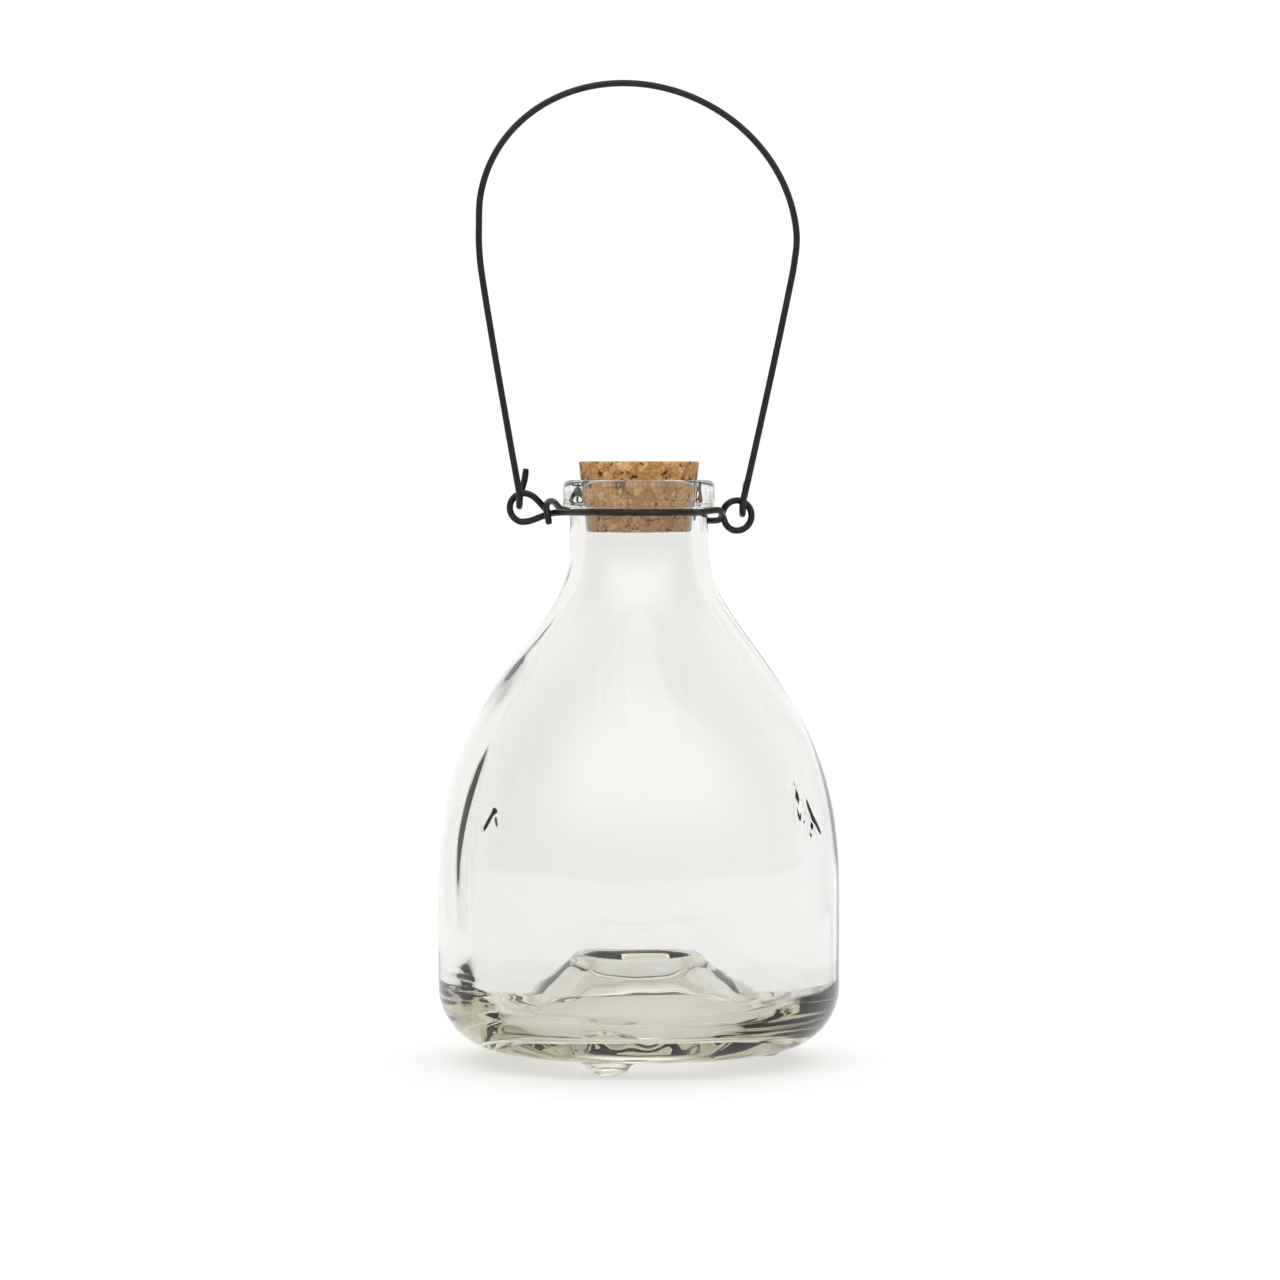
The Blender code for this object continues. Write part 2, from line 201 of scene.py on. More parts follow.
def divided(outline, longest, longest_at_creases):
    """The closed outline with points added so that no side is longer than this."""
    points = []
    for start, end in zip(outline, outline[1:] + outline[:1]):
        length = sqrt((end[0] - start[0]) ** 2 + (end[1] - start[1]) ** 2)
        creased = start[0] > inner_radius + 1 * MM and CREASE_LOW < (start[1] + end[1]) / 2 < CREASE_HIGH
        steps = max(1, int(np.ceil(length / (longest_at_creases if creased else longest))))
        for share in np.arange(steps) / steps:
            points.append((start[0] + (end[0] - start[0]) * share, start[1] + (end[1] - start[1]) * share))
    return points


def smooth_route(points, spacing):
    """A Catmull-Rom curve through the points, sampled about every spacing."""
    points = [Vector(p) for p in points]
    ends = [2 * points[0] - points[1]] + points + [2 * points[-1] - points[-2]]
    route = []
    for p0, p1, p2, p3 in zip(ends, ends[1:], ends[2:], ends[3:]):
        steps = max(1, round((p2 - p1).length / spacing))
        for i in range(steps):
            t = i / steps
            a = 2 * p1 + (p2 - p0) * t
            b = (2 * p0 - 5 * p1 + 4 * p2 - p3) * t ** 2
            c = (3 * p1 - p0 - 3 * p2 + p3) * t ** 3
            route.append((a + b + c) / 2)
    route.append(points[-1])
    return route


def smoothstep(low, high, value):
    share = np.clip((value - low) / (high - low), 0.0, 1.0)
    return share * share * (3.0 - 2.0 * share)


# ---------------------------------------------------------------- sizes that follow

cork_bottom_radius = CORK_TOP_RADIUS - CORK_LENGTH * tan(CORK_TAPER)
cork_top = BOTTLE_HEIGHT + CORK_PROUD
cork_bottom = cork_top - CORK_LENGTH
neck_bore = cork_bottom_radius + CLEARANCE
mouth_bore = CORK_TOP_RADIUS - CORK_PROUD * tan(CORK_TAPER) + CLEARANCE
neck_radius = neck_bore + NECK_WALL
lip_radius = neck_radius + LIP_OVERHANG
lip_bottom = BOTTLE_HEIGHT - LIP_HEIGHT
floor_top = FOOT_HEIGHT + FLOOR_THICKNESS
crest_top = FOOT_HEIGHT + FUNNEL_HEIGHT
crest_radius = HOLE_RADIUS + FUNNEL_CREST_WIDTH
inner_radius = BODY_RADIUS - BODY_WALL
funnel_root_radius = inner_radius - FLOOR_ROUND - TROUGH_FLOOR_WIDTH
funnel_mouth_radius = BODY_RADIUS - BASE_ROUND - BASE_RING_WIDTH
foot_circle = BODY_RADIUS - FOOT_INSET
neck_end = cork_bottom - NECK_BELOW_CORK
fullness = (neck_end - SHOULDER_START) * SHOULDER_FULLNESS
neck_sweep = (neck_end - SHOULDER_START) * NECK_SWEEP
collar_radius = neck_radius + CLEARANCE + WIRE_RADIUS
collar_height = lip_bottom - CLEARANCE - WIRE_RADIUS
right_eye = Vector((collar_radius + RIGHT_EYE_REACH, 0.0, collar_height - RIGHT_EYE_DROP))
left_eye = Vector((-collar_radius - LEFT_EYE_REACH, 0.0, collar_height + LEFT_EYE_RISE))

swing = next(joint for joint in frame["joints"] if joint["name"] == "bail_swing")
hinge_centre = Vector(swing["pos_m"])
hinge_tilt = atan2(-swing["axis"][2], swing["axis"][0])


def eye_top(centre, half_width, half_height, offset):
    """Where the upper strand of an eye passes, at this offset from the eye's centre."""
    rise = half_height * sqrt(1.0 - (offset / half_width) ** 2)
    return centre + Vector((offset, 0.0, rise))


right_hinge = eye_top(right_eye, RIGHT_EYE_HALF_WIDTH, RIGHT_EYE_HALF_HEIGHT, RIGHT_HOOK_OFFSET)
left_hinge = eye_top(left_eye, LEFT_EYE_RADIUS, LEFT_EYE_RADIUS, -LEFT_HOOK_OFFSET)
hinge_half_span = hypot(right_hinge.x - left_hinge.x, left_hinge.z - right_hinge.z) / 2


# ---------------------------------------------------------------- mesh helpers

def mesh_object(name, points, faces, smooth=True):
    mesh = bpy.data.meshes.new(name)
    mesh.from_pydata([tuple(p) for p in points], [], faces)
    mesh.validate()
    if smooth:
        mesh.shade_smooth()
    obj = bpy.data.objects.new(name, mesh)
    bpy.context.scene.collection.objects.link(obj)
    return obj


def wave(seed, theta, height, count, around, along):
    """A smooth random field over angle and height, between about -1 and 1."""
    dice = np.random.default_rng(seed)
    field = np.zeros_like(theta)
    for _ in range(count):
        turns = dice.integers(around[0], around[1] + 1)
        rate = dice.uniform(along[0], along[1]) * dice.choice((-1, 1))
        field += dice.uniform(0.5, 1.0) * np.sin(turns * theta + rate * height + dice.uniform(0, 2 * pi))
    return field / sqrt(count)


# ---------------------------------------------------------------- glass

OUTER, UNDER, FUNNEL, INNER = range(4)


def glass_outline():
    """The closed section: lip, shoulder, heel, underside, then the funnel and the inside up to the neck."""
    lip = rounded_outline([
        (mouth_bore, BOTTLE_HEIGHT - MOUTH_ROUND, 0.0),
        (mouth_bore, BOTTLE_HEIGHT, MOUTH_ROUND * 0.98),
        (lip_radius, BOTTLE_HEIGHT, LIP_ROUND),
        (lip_radius, lip_bottom, LIP_UNDER_ROUND),
        (neck_radius, lip_bottom, NECK_FILLET),
        (neck_radius, (lip_bottom + neck_end) / 2, 0.0),
    ], 0.5 * MM)
    outer_shoulder = bezier_points(
        (neck_radius, neck_end),
        (neck_radius, neck_end - neck_sweep),
        (BODY_RADIUS, SHOULDER_START + fullness),
        (BODY_RADIUS, SHOULDER_START),
        64,
    )
    heel = rounded_outline([
        (BODY_RADIUS, (SHOULDER_START + FOOT_HEIGHT + BASE_ROUND) / 2, 0.0),
        (BODY_RADIUS, FOOT_HEIGHT, BASE_ROUND),
        (funnel_mouth_radius, FOOT_HEIGHT, FUNNEL_MOUTH_ROUND),
        (HOLE_RADIUS, crest_top - FUNNEL_THROAT, FUNNEL_THROAT_ROUND),
        (HOLE_RADIUS, crest_top - FUNNEL_THROAT * 0.5, 0.0),
    ])
    inside = rounded_outline([
        (HOLE_RADIUS, crest_top - FUNNEL_THROAT * 0.5, 0.0),
        (HOLE_RADIUS, crest_top, FUNNEL_HOLE_ROUND),
        (crest_radius, crest_top, FUNNEL_CREST_ROUND),
        (funnel_root_radius, floor_top, FUNNEL_ROOT_ROUND),
        (inner_radius, floor_top, FLOOR_ROUND * CORNER_FULLNESS),
        (inner_radius, (SHOULDER_START + floor_top + FLOOR_ROUND) / 2, 0.0),
    ], 0.6 * MM)[1:]
    inner_shoulder = bezier_points(
        (inner_radius, SHOULDER_START),
        (inner_radius, SHOULDER_START + fullness - BODY_WALL / 2),
        (neck_bore, neck_end - neck_sweep),
        (neck_bore, neck_end),
        64,
    )
    outline = lip + outer_shoulder + heel + inside + inner_shoulder + [(neck_bore, cork_bottom)]
    return divided(outline, SECTION_STEP, CREASE_STEP)


def section_angles():
    """Angles round the axis, closer together where the surface carries creases."""
    angles = []
    angle = -90.0
    while angle < 270.0 - 0.4:
        angles.append(angle)
        fine = any(low <= angle < high for low, high in FINE_ANGLES)
        angle += FINE_ANGLE_STEP if fine else ANGLE_STEP
    return np.radians(angles)


def region_of(outline):
    """Which surface each section point belongs to, by walking the outline once round."""
    r, z = outline[:, 0], outline[:, 1]
    order = np.arange(len(r))
    lowest = np.flatnonzero(z < FOOT_HEIGHT + 0.05 * MM)
    near_crest = (r < crest_radius + 1 * MM) & (z < crest_top + 1 * MM)
    crest = np.argmax(np.where(near_crest, z, -1))
    region = np.full(len(r), INNER)
    region[order <= lowest[-1]] = UNDER
    region[order < lowest[0]] = OUTER
    region[(order > lowest[-1]) & (order <= crest)] = FUNNEL
    return region


def crease(theta, z, angle, height, length, turn, width, depth):
    """One shallow crease: angles in degrees, sizes in millimetres, turned from the horizontal."""
    across = (theta - radians(angle)) * BODY_RADIUS
    along = across * cos(radians(turn)) + (z - height * MM) * sin(radians(turn))
    off = -across * sin(radians(turn)) + (z - height * MM) * cos(radians(turn))
    ends = np.exp(-(along / (length * MM / 2)) ** 4)
    return depth * MM * ends * np.exp(-(off / (width * MM)) ** 2)


# Angle, height, length, turn, width and depth of each crease: an arrowhead on the left, crinkles on the right
CREASES = (
    (221.8, 72.6, 7.5, 58, 0.6, 0.8),
    (224.4, 72.6, 7.0, -62, 0.6, 0.9),
    (222.6, 69.4, 5.0, 12, 0.5, 0.4),
    (-37.0, 82.0, 3.5, 12, 0.5, 0.6),
    (-36.0, 75.8, 9.0, 85, 0.5, 0.7),
    (-35.0, 71.0, 6.0, 58, 0.5, 0.6),
    (-29.4, 73.2, 8.0, -66, 0.5, 0.6),
    (-30.8, 69.4, 5.0, 62, 0.5, 0.5),
    (-27.0, 70.0, 6.0, -55, 0.5, 0.5),
    (-32.0, 78.2, 4.0, -40, 0.5, 0.4),
)


def make_glass():
    """The bottle, turned from its section, with the unevenness, creases, lean and feet added."""
    outline = np.array(glass_outline())
    angles = section_angles()
    region = region_of(outline)
    theta, r = np.meshgrid(angles, outline[:, 0], indexing="ij")
    _, z = np.meshgrid(angles, outline[:, 1], indexing="ij")
    _, kind = np.meshgrid(angles, region, indexing="ij")

    below_neck = smoothstep(150 * MM, 128 * MM, z)
    outer_sway = -np.abs(wave(3, theta, z, 7, (2, 6), (20, 70))) * SWAY_DEPTH
    creases = sum(crease(theta, z, *one) for one in CREASES)
    outer = outer_sway * below_neck - creases
    r = r + np.where(kind == OUTER, outer, 0.0)

    wall = smoothstep(14 * MM, 26 * MM, z) * smoothstep(146 * MM, 110 * MM, z) * (r > 22 * MM)
    streaks = wave(11, theta, z, 9, (3, 11), (8, 45)) * STREAK_DEPTH
    bands = wave(5, theta, z, 5, (1, 3), (90, 190)) * BAND_DEPTH
    fold_angle = FOLD_ANGLE + 2.5 * np.sin(z / (13 * MM))
    fold = np.exp(-((theta - np.radians(fold_angle)) / FOLD_WIDTH) ** 2)
    fold = fold * smoothstep(34 * MM, 56 * MM, z) * smoothstep(96 * MM, 66 * MM, z) * FOLD_DEPTH
    inner = (streaks + bands - fold) * wall
    left_side = np.exp(-((theta - LEFT_SIDE) / radians(26)) ** 2)
    thickening = smoothstep(34 * MM, 16 * MM, z) * (FOOT_OF_WALL + LEFT_FOOT_OF_WALL * left_side)
    is_inner = (kind == INNER) & (r > 22 * MM)
    r = r + np.where(is_inner, inner, 0.0)

    fine_ripple = np.sin(z / (0.42 * MM) + 1.6 * np.sin(theta * 2 + 0.7))
    coarse_ripple = np.sin(z / (0.71 * MM) + np.sin(theta * 3))
    ripple = (fine_ripple + coarse_ripple) * RIPPLE_DEPTH
    ripple = ripple * smoothstep(9 * MM, 14 * MM, z) * smoothstep(40 * MM, 22 * MM, z)
    r = r + np.where((kind == INNER) & (r > 44 * MM), ripple - thickening, 0.0)
    heel_ripple = (ripple - HEEL_RIPPLE_SET_BACK) * smoothstep(9 * MM, 13 * MM, z)
    heel_ripple = heel_ripple * smoothstep(40 * MM, 24 * MM, z)
    r = r + np.where((kind == OUTER) & (z < 40 * MM), heel_ripple * 0.6, 0.0)

    x = r * np.cos(theta)
    y = r * np.sin(theta)
    lean = np.where(kind == INNER, smoothstep(146 * MM, 105 * MM, z) * (z > 12 * MM), 0.0)
    near_wall = smoothstep(30 * MM, 46 * MM, r)
    x = x + lean * near_wall * INNER_LEAN
    rise = smoothstep(floor_top, crest_top, z) * (1 - smoothstep(24 * MM, 40 * MM, r)) * (z < 40 * MM)
    x = x - rise * FUNNEL_SHIFT

    floor_wave = wave(21, theta, r, 5, (1, 4), (180, 420)) * FLOOR_WAVE_DEPTH
    on_floor = (kind == INNER) & (z < 20 * MM) & (r > 30 * MM)
    z = z + np.where(on_floor, floor_wave, 0.0)

    for i in range(FOOT_COUNT):
        angle = FIRST_FOOT_ANGLE + i * 2 * pi / FOOT_COUNT
        distance = np.hypot(x - foot_circle * cos(angle), y - foot_circle * sin(angle))
        share = np.clip((distance - FOOT_FLAT_RADIUS) / (FOOT_RADIUS - FOOT_FLAT_RADIUS), 0.0, 1.0)
        dome = (FOOT_HEIGHT + FOOT_BLEND) * (1 - np.sqrt(1 - share ** 2))
        under = ((kind == OUTER) | (kind == UNDER)) & (distance < FOOT_RADIUS) & (z < 9 * MM)
        z = np.where(under & (dome < z), dome, z)

    count, around = outline.shape[0], len(angles)
    points = np.stack([x, y, z], axis=2).reshape(-1, 3)
    faces = []
    for i in range(around):
        here, there = i * count, ((i + 1) % around) * count
        for j in range(count):
            k = (j + 1) % count
            faces.append((here + j, here + k, there + k, there + j))
    glass = mesh_object("bottle_glass", points, faces)
    glass.data.materials.append(glass_material())
    return glass


# ---------------------------------------------------------------- materials

def new_material(name):
    material = bpy.data.materials.new(name)
    material.use_nodes = True
    nodes = material.node_tree.nodes
    nodes.clear()
    output = nodes.new("ShaderNodeOutputMaterial")
    shader = nodes.new("ShaderNodeBsdfPrincipled")
    material.node_tree.links.new(shader.outputs[0], output.inputs["Surface"])
    return material, nodes, material.node_tree.links, shader, output


def glass_material():
    """Clear glass that turns warm grey-green where light goes a long way through it."""
    material, nodes, links, shader, output = new_material("clear_glass")
    shader.inputs["Base Color"].default_value = (0.918, 0.918, 0.915, 1.0)
    shader.inputs["Roughness"].default_value = 0.0
    shader.inputs["IOR"].default_value = 1.5
    shader.inputs["Transmission Weight"].default_value = 1.0
    absorb = nodes.new("ShaderNodeVolumeAbsorption")
    absorb.inputs["Color"].default_value = (0.54, 0.50, 0.28, 1.0)
    absorb.inputs["Density"].default_value = 14.0
    links.new(absorb.outputs[0], output.inputs["Volume"])
    clear = nodes.new("ShaderNodeBsdfTransparent")
    clear.inputs["Color"].default_value = (0.95, 0.95, 0.955, 1.0)
    path = nodes.new("ShaderNodeLightPath")
    mix = nodes.new("ShaderNodeMixShader")
    links.new(path.outputs["Is Shadow Ray"], mix.inputs[0])
    links.new(shader.outputs[0], mix.inputs[1])
    links.new(clear.outputs[0], mix.inputs[2])
    links.new(mix.outputs[0], output.inputs["Surface"])
    return material


def noise(nodes, links, coordinates, scale, detail=3.0, roughness=0.5):
    node = nodes.new("ShaderNodeTexNoise")
    node.inputs["Scale"].default_value = scale
    node.inputs["Detail"].default_value = detail
    node.inputs["Roughness"].default_value = roughness
    links.new(coordinates, node.inputs["Vector"])
    return node.outputs["Fac"]


def ramp(nodes, links, value, stops):
    node = nodes.new("ShaderNodeValToRGB")
    elements = node.color_ramp.elements
    while len(elements) < len(stops):
        elements.new(0.5)
    for element, (place, colour) in zip(elements, stops):
        element.position = place
        element.color = (*colour, 1.0)
    links.new(value, node.inputs["Fac"])
    return node.outputs["Color"]


def blend_colour(nodes, links, factor, first, second, mode="MIX"):
    node = nodes.new("ShaderNodeMix")
    node.data_type = "RGBA"
    node.blend_type = mode
    for socket, value in ((node.inputs[0], factor), (node.inputs[6], first), (node.inputs[7], second)):
        if isinstance(value, bpy.types.NodeSocket):
            links.new(value, socket)
        else:
            socket.default_value = value
    return node.outputs[2]


def cork_material():
    """Pressed cork granules: warm tan cells of several tones, dark seams and brown bark flecks."""
    material, nodes, links, shader, _ = new_material("agglomerated_cork")
    place = nodes.new("ShaderNodeTexCoord").outputs["Object"]
    cells = nodes.new("ShaderNodeTexVoronoi")
    cells.inputs["Scale"].default_value = 420.0
    cells.inputs["Randomness"].default_value = 1.0
    links.new(place, cells.inputs["Vector"])
    tone = ramp(nodes, links, cells.outputs["Color"], (
        (0.15, (0.52, 0.270, 0.085)),
        (0.45, (0.64, 0.360, 0.135)),
        (0.85, (0.80, 0.500, 0.215)),
    ))
    grain = ramp(nodes, links, noise(nodes, links, place, 900.0, 4.0, 0.65), (
        (0.30, (0.55, 0.50, 0.45)),
        (0.60, (1.0, 1.0, 1.0)),
    ))
    tone = blend_colour(nodes, links, 1.0, tone, grain, "MULTIPLY")
    fleck_field = noise(nodes, links, place, 330.0, 5.0, 0.7)
    fleck = ramp(nodes, links, fleck_field, ((0.555, (0, 0, 0)), (0.60, (1, 1, 1))))
    tone = blend_colour(nodes, links, fleck, tone, (0.085, 0.030, 0.010, 1.0))
    edges = nodes.new("ShaderNodeTexVoronoi")
    edges.feature = "DISTANCE_TO_EDGE"
    edges.inputs["Scale"].default_value = 420.0
    links.new(place, edges.inputs["Vector"])
    seam = ramp(nodes, links, edges.outputs["Distance"], ((0.0, (0.62, 0.55, 0.48)), (0.10, (1, 1, 1))))
    tone = blend_colour(nodes, links, 0.8, tone, seam, "MULTIPLY")
    links.new(tone, shader.inputs["Base Color"])
    shader.inputs["Roughness"].default_value = 0.88
    bump = nodes.new("ShaderNodeBump")
    bump.inputs["Strength"].default_value = 0.5
    bump.inputs["Distance"].default_value = 0.4 * MM
    links.new(noise(nodes, links, place, 1200.0, 4.0, 0.6), bump.inputs["Height"])
    links.new(bump.outputs[0], shader.inputs["Normal"])
    return material


def wire_material():
    """Black coated wire: satin, with a faint unevenness in the coating."""
    material, nodes, links, shader, _ = new_material("black_coated_wire")
    place = nodes.new("ShaderNodeTexCoord").outputs["Object"]
    tone = ramp(nodes, links, noise(nodes, links, place, 260.0, 3.0), (
        (0.35, (0.004, 0.004, 0.004)),
        (0.70, (0.010, 0.010, 0.010)),
    ))
    links.new(tone, shader.inputs["Base Color"])
    shader.inputs["Specular IOR Level"].default_value = 0.3
    coating = noise(nodes, links, place, 500.0, 2.0)
    gloss = ramp(nodes, links, coating, ((0.3, (0.30,) * 3), (0.7, (0.44,) * 3)))
    links.new(gloss, shader.inputs["Roughness"])
    bump = nodes.new("ShaderNodeBump")
    bump.inputs["Strength"].default_value = 0.18
    bump.inputs["Distance"].default_value = 0.15 * MM
    links.new(noise(nodes, links, place, 420.0, 3.0), bump.inputs["Height"])
    links.new(bump.outputs[0], shader.inputs["Normal"])
    return material


# ---------------------------------------------------------------- cork

CORK_COLUMNS = 220
PIT_COUNT = 210


def make_cork():
    """The tapered plug, its surface pitted where granules have come away."""
    edge = 0.6 * MM
    ring = 0.45 * MM
    top_centre = (CORK_TOP_RADIUS - edge, cork_top - edge)
    bottom_centre = (cork_bottom_radius - edge, cork_bottom + edge)
    rows = []
    for radius in np.arange(ring, CORK_TOP_RADIUS - edge, ring):
        rows.append((radius, cork_top, 0.0, 1.0))
    for a in np.radians(np.linspace(90, 0, 5)):
        rows.append((top_centre[0] + edge * cos(a), top_centre[1] + edge * sin(a), cos(a), sin(a)))
    for z in np.arange(cork_top - edge - ring, cork_bottom + edge, -ring):
        rows.append((CORK_TOP_RADIUS - (cork_top - z) * tan(CORK_TAPER), z, 1.0, 0.0))
    for a in np.radians(np.linspace(0, -90, 5)):
        rows.append((bottom_centre[0] + edge * cos(a), bottom_centre[1] + edge * sin(a), cos(a), sin(a)))
    for radius in np.arange(cork_bottom_radius - edge - ring, ring * 0.9, -ring):
        rows.append((radius, cork_bottom, 0.0, -1.0))
    rows = np.array(rows)
    around = CORK_COLUMNS
    theta = np.arange(around) * 2 * pi / around
    x = rows[None, :, 0] * np.cos(theta)[:, None]
    y = rows[None, :, 0] * np.sin(theta)[:, None]
    z = np.broadcast_to(rows[None, :, 1], x.shape)
    normal = np.stack([
        rows[None, :, 2] * np.cos(theta)[:, None],
        rows[None, :, 2] * np.sin(theta)[:, None],
        np.broadcast_to(rows[None, :, 3], x.shape),
    ], axis=2)
    points = np.stack([x, y, z], axis=2)
    dice = np.random.default_rng(8)
    depth = np.zeros(x.shape)
    surface = points.reshape(-1, 3)
    for _ in range(PIT_COUNT):
        centre = surface[dice.integers(len(surface))]
        long_side = dice.uniform(0.5, 1.5) * MM
        stretch = dice.uniform(0.35, 1.0)
        tilt = dice.uniform(0, pi)
        offset = points - centre
        flat = offset[..., 0] * -centre[1] + offset[..., 1] * centre[0]
        flat = flat / max(np.hypot(centre[0], centre[1]), 1 * MM)
        upright = np.where(normal[..., 2] ** 2 > 0.5, offset[..., 0] * cos(tilt), offset[..., 2])
        u = flat * cos(tilt) + upright * sin(tilt)
        v = -flat * sin(tilt) + upright * cos(tilt)
        close = np.linalg.norm(offset, axis=2) < 3 * MM
        pit = np.exp(-((u / long_side) ** 2 + (v / (long_side * stretch)) ** 2) * 1.6) * close
        depth = np.maximum(depth, pit * dice.uniform(0.15, 0.55) * MM)
    points = points - normal * depth[..., None]
    count = len(rows)
    flat_points = np.vstack([points.reshape(-1, 3), [(0, 0, cork_top)], [(0, 0, cork_bottom)]])
    faces = []
    for i in range(around):
        here, there = i * count, ((i + 1) % around) * count
        for j in range(count - 1):
            faces.append((here + j, here + j + 1, there + j + 1, there + j))
        faces.append((here, there, around * count))
        faces.append((there + count - 1, here + count - 1, around * count + 1))
    cork = mesh_object("cork_plug", flat_points, faces)
    cork.data.materials.append(cork_material())
    return cork


# ---------------------------------------------------------------- wires

def wire(name, route, material):
    """A round wire along the route, closed by slightly rounded cut ends."""
    curve = bpy.data.curves.new(name, "CURVE")
    curve.dimensions = "3D"
    curve.bevel_depth = WIRE_RADIUS - WIRE_SET_BACK
    curve.bevel_resolution = 6
    curve.use_fill_caps = True
    spline = curve.splines.new("POLY")
    spline.points.add(len(route) - 1)
    for point, place in zip(spline.points, route):
        point.co = (*place, 1.0)
    spline.points[0].radius = 0.82
    spline.points[-1].radius = 0.82
    spline.use_smooth = True
    obj = bpy.data.objects.new(name, curve)
    bpy.context.scene.collection.objects.link(obj)
    curve.materials.append(material)
    return obj


def collar_arc(start, end, start_height, end_height, steps):
    points = []
    for share in np.linspace(0.0, 1.0, steps + 1):
        angle = radians(start + (end - start) * share)
        height = start_height + (end_height - start_height) * share
        points.append(Vector((collar_radius * cos(angle), collar_radius * sin(angle), height)))
    return points


def eye_arc(centre, half_width, half_height, start, end, steps):
    angles = np.radians(np.linspace(start, end, steps + 1))
    return [centre + Vector((half_width * cos(a), 0.0, half_height * sin(a))) for a in angles]


def near(centre, x, y, z):
    """A point of a twist, given in wire radii from the centre of its eye."""
    return centre + Vector((x, y, z)) * WIRE_RADIUS


def collar_route():
    """One wire: left eye, front strand, right eye, rear strand, and a tail hooked over the left root."""
    low = collar_height - REAR_STRAND_DROP
    return (
        [
            near(left_eye, 7.2, 2.3, -1.9),
            near(left_eye, 6.5, 2.0, -0.9),
            near(left_eye, 5.0, 1.2, 0.9),
            near(left_eye, 2.7, 0.4, 3.2),
        ]
        + eye_arc(left_eye, LEFT_EYE_RADIUS, LEFT_EYE_RADIUS, 80, 260, 10)
        + [
            near(left_eye, 1.9, -0.3, -3.75),
            near(left_eye, 4.9, -1.3, -2.6),
            near(left_eye, 8.1, -3.1, -1.6),
            near(left_eye, 11.4, -6.8, -1.3),
        ]
        + collar_arc(215, 325, collar_height, collar_height, 14)
        + [
            near(right_eye, -5.5, -6.8, 1.6),
            near(right_eye, -4.3, -2.3, 0.1),
            near(right_eye, -3.1, -0.9, -2.7),
        ]
        + eye_arc(right_eye, RIGHT_EYE_HALF_WIDTH, RIGHT_EYE_HALF_HEIGHT, 250, 500, 12)
        + [
            near(right_eye, -4.0, 0.8, 1.2),
            near(right_eye, -4.5, 2.3, -0.7),
            near(right_eye, -6.0, 5.0, -1.5),
        ]
        + collar_arc(30, 146, low, collar_height, 14)
        + [
            near(left_eye, 10.8, 8.0, -0.5),
            near(left_eye, 8.7, 3.4, 1.5),
            near(left_eye, 7.3, -0.7, 1.8),
            near(left_eye, 6.5, -4.2, 0.5),
            near(left_eye, 6.9, -5.3, -2.2),
            near(left_eye, 7.3, -5.1, -4.7),
        ]
    )


def bail_arch(angle):
    height = BAIL_SHOULDER_HEIGHT + (BAIL_HEIGHT - BAIL_SHOULDER_HEIGHT) * sin(angle)
    x = BAIL_HALF_WIDTH * cos(angle) - BAIL_LEAN * sin(angle) - BAIL_SHIFT
    return Vector((x, -HOOK_RADIUS * (1 - height / BAIL_HEIGHT), height))


def bail_side(side, hook_end, slant):
    """One end of the bail from its hook's tip to the shoulder, in the hinge's own axes."""
    hook = side * hinge_half_span

    def leg(x, height):
        return Vector((x, -HOOK_RADIUS * (1 - height / BAIL_HEIGHT), height))

    tip = [
        Vector((hook + slant, HOOK_RADIUS, hook_end)),
        Vector((hook + slant * 0.7, HOOK_RADIUS, hook_end * 0.5)),
    ]
    bend = []
    for angle in np.radians(np.linspace(0, 180, 9)):
        bend.append(Vector((hook, HOOK_RADIUS * cos(angle), -HOOK_RADIUS * sin(angle))))
    shoulder = bail_arch(0.0 if side > 0 else pi)
    leg_top = BAIL_SHOULDER_HEIGHT * LEG_TOP
    top_x = shoulder.x - side * LEG_TOP_INSET
    rise = []
    for share in (0.05, 0.12, 0.3, 0.65, 1.0):
        bowed = (1 - LEG_BOW) * share + LEG_BOW * sin(share * pi / 2)
        rise.append(leg(hook + (top_x - hook) * bowed, leg_top * share))
    return tip + bend + rise + [leg(shoulder.x - side * BEND_INSET, BAIL_SHOULDER_HEIGHT * BEND_HEIGHT)]


def bail_route():
    right = bail_side(1, RIGHT_HOOK_END, RIGHT_HOOK_SLANT)
    left = bail_side(-1, LEFT_HOOK_END, LEFT_HOOK_SLANT)
    arch = [bail_arch(a) for a in np.linspace(0, pi, 17)]
    route = right + arch + left[::-1]
    across = Vector((cos(hinge_tilt), 0.0, -sin(hinge_tilt)))
    up = Vector((sin(hinge_tilt), 0.0, cos(hinge_tilt)))
    depth = Vector((0.0, 1.0, 0.0))
    return [hinge_centre + across * p.x + depth * p.y + up * p.z for p in route]


# ---------------------------------------------------------------- studio

def make_floor():
    points = [(-4.0, -4.0, 0.0), (4.0, -4.0, 0.0), (4.0, 4.0, 0.0), (-4.0, 4.0, 0.0)]
    floor = mesh_object("floor", points, [(0, 1, 2, 3)], smooth=False)
    material, nodes, links, shader, _ = new_material("pale_floor")
    shader.inputs["Base Color"].default_value = (0.90, 0.90, 0.90, 1.0)
    shader.inputs["Roughness"].default_value = 1.0
    shader.inputs["Specular IOR Level"].default_value = 0.0
    floor.data.materials.append(material)


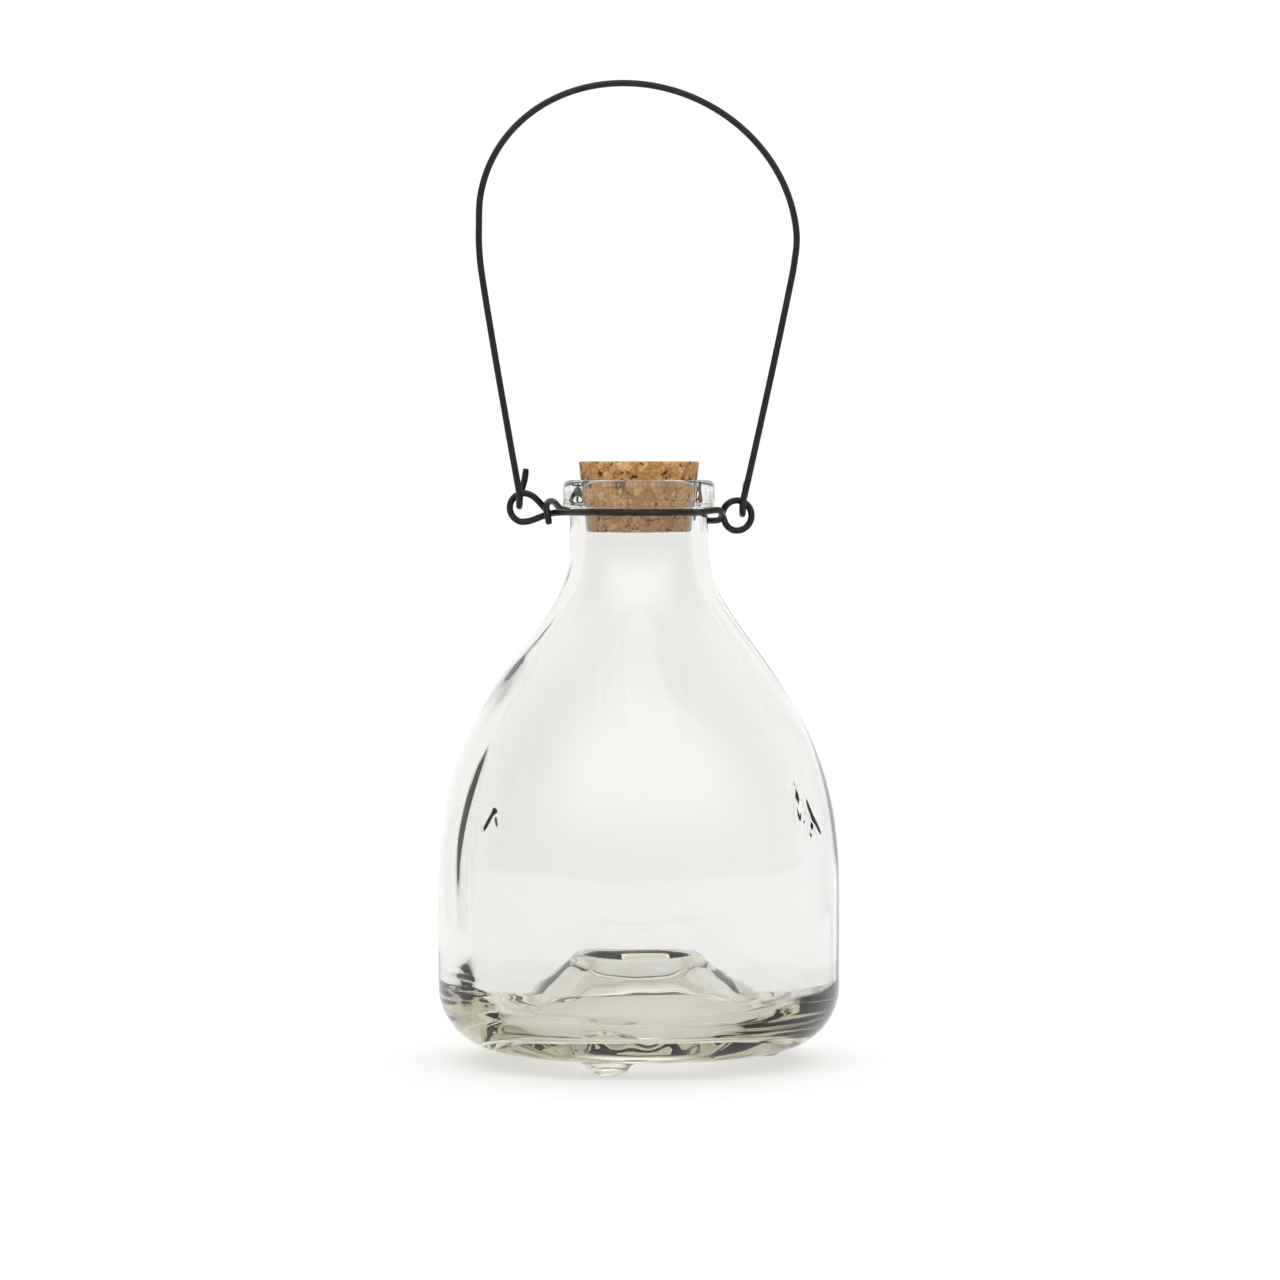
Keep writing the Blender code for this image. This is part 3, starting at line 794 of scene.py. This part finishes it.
def make_world():
    """White all round for the camera; for every other ray a grey room, brighter behind and above."""
    world = bpy.data.worlds.new("studio")
    bpy.context.scene.world = world
    world.use_nodes = True
    nodes, links = world.node_tree.nodes, world.node_tree.links
    nodes.clear()
    output = nodes.new("ShaderNodeOutputWorld")
    direction = nodes.new("ShaderNodeTexCoord").outputs["Generated"]
    parts = nodes.new("ShaderNodeSeparateXYZ")
    links.new(direction, parts.inputs[0])

    def mapped(value, from_low, from_high, to_low, to_high):
        node = nodes.new("ShaderNodeMapRange")
        node.interpolation_type = "SMOOTHSTEP"
        links.new(value, node.inputs["Value"])
        node.inputs["From Min"].default_value = from_low
        node.inputs["From Max"].default_value = from_high
        node.inputs["To Min"].default_value = to_low
        node.inputs["To Max"].default_value = to_high
        return node.outputs["Result"]

    def times(first, second):
        node = nodes.new("ShaderNodeMath")
        node.operation = "MULTIPLY"
        links.new(first, node.inputs[0])
        if isinstance(second, bpy.types.NodeSocket):
            links.new(second, node.inputs[1])
        else:
            node.inputs[1].default_value = second
        return node.outputs[0]

    depth = mapped(parts.outputs["Y"], -0.05, 0.5, 0.44, 1.06)
    height = mapped(parts.outputs["Z"], 0.5, 0.95, 1.0, 1.74)
    from_front = mapped(parts.outputs["Y"], -0.15, -0.75, 0.0, 1.7)
    from_above = mapped(parts.outputs["Z"], 0.05, 0.62, 0.0, 1.0)
    room = nodes.new("ShaderNodeBackground")
    room.inputs["Color"].default_value = (1.0, 1.0, 1.0, 1.0)
    total = nodes.new("ShaderNodeMath")
    links.new(times(depth, height), total.inputs[0])
    links.new(times(from_front, from_above), total.inputs[1])
    links.new(total.outputs[0], room.inputs["Strength"])
    white = nodes.new("ShaderNodeBackground")
    white.inputs["Color"].default_value = (1.0, 1.0, 1.0, 1.0)
    white.inputs["Strength"].default_value = 1.05
    path = nodes.new("ShaderNodeLightPath")
    mix = nodes.new("ShaderNodeMixShader")
    links.new(path.outputs["Is Camera Ray"], mix.inputs[0])
    links.new(room.outputs[0], mix.inputs[1])
    links.new(white.outputs[0], mix.inputs[2])
    links.new(mix.outputs[0], output.inputs["Surface"])


def add_camera():
    camera = bpy.data.cameras.new("camera")
    camera.lens = LENS
    obj = bpy.data.objects.new("camera", camera)
    obj.location = (CAMERA_SIDE, -CAMERA_DISTANCE, BOTTLE_HEIGHT)
    aim = Vector((CAMERA_SIDE, 0.0, AIM_HEIGHT))
    obj.rotation_euler = (aim - obj.location).to_track_quat("-Z", "Y").to_euler()
    bpy.context.scene.collection.objects.link(obj)
    bpy.context.scene.camera = obj


def main():
    scene = bpy.context.scene
    scene.view_settings.view_transform = "Standard"
    scene.cycles.max_bounces = 24
    scene.cycles.glossy_bounces = 8
    scene.cycles.transmission_bounces = 24
    add_camera()
    make_world()
    make_floor()

    black = wire_material()
    glass = make_glass()
    cork = make_cork()
    collar_wire = wire("collar_wire", smooth_route(collar_route(), 0.7 * MM), black)
    bail_handle = wire("bail_handle", smooth_route(bail_route(), 1.2 * MM), black)
    pieces = (
        (glass, "glass_bottle", "bottle", "glass"),
        (cork, "cork_stopper", "cork", "cork"),
        (collar_wire, "neck_wire", "collar", "black_wire"),
        (bail_handle, "bail_wire", "bail", "black_wire"),
    )
    for piece, node, body, slot in pieces:
        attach(piece, body)
        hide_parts(node)


main()
